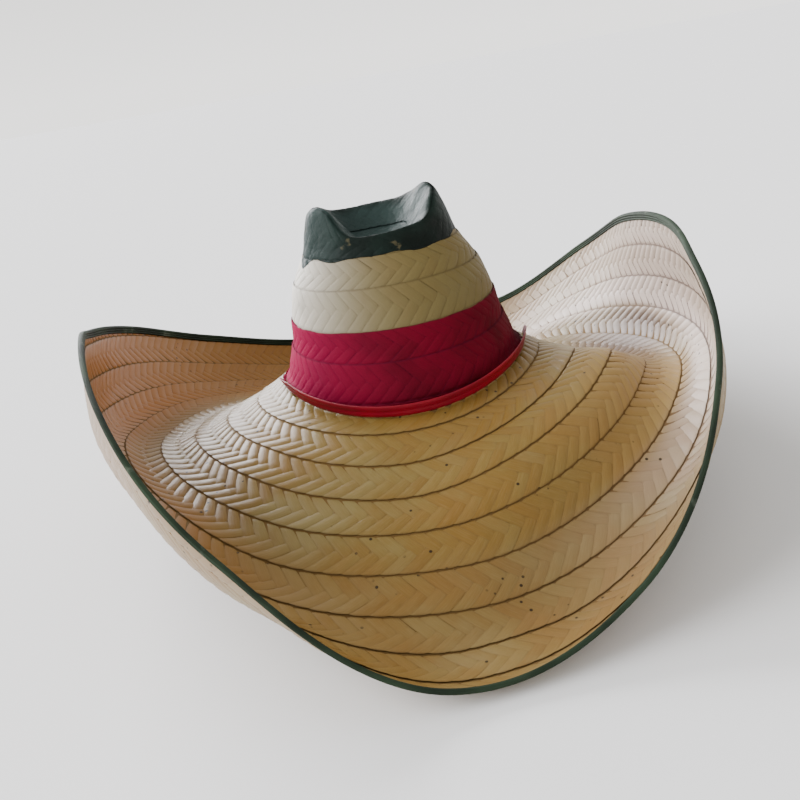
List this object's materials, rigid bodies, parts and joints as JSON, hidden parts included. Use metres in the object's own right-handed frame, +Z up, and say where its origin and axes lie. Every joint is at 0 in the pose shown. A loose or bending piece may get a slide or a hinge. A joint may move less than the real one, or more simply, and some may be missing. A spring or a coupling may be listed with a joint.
{
  "type": "sombrero",
  "caption": "Saddle-shaped wide-brimmed hat of sewn palm braid, with a tapered two-horned crown, a bound rim and a strap at the crown's foot.",
  "frame": {"origin": "on the surface that the hat rests on, under the middle of its bounding box", "axes": "+Z up out of the crown, -Y to the front of the hat, +X to the right as it is seen from the front"},
  "size_m": [0.4128, 0.5568, 0.1934],
  "materials": {
    "straw": "natural palm braid, lightly lacquered",
    "painted_straw": "palm braid painted green, white and red",
    "green_edge": "painted straw edging with a dull sheen",
    "red_strap": "painted straw strap"
  },
  "bodies": {
    "root": {"crown": "painted_straw", "brim": "straw", "rim_binding": "green_edge", "crown_band": "red_strap"}
  },
  "joints": []
}
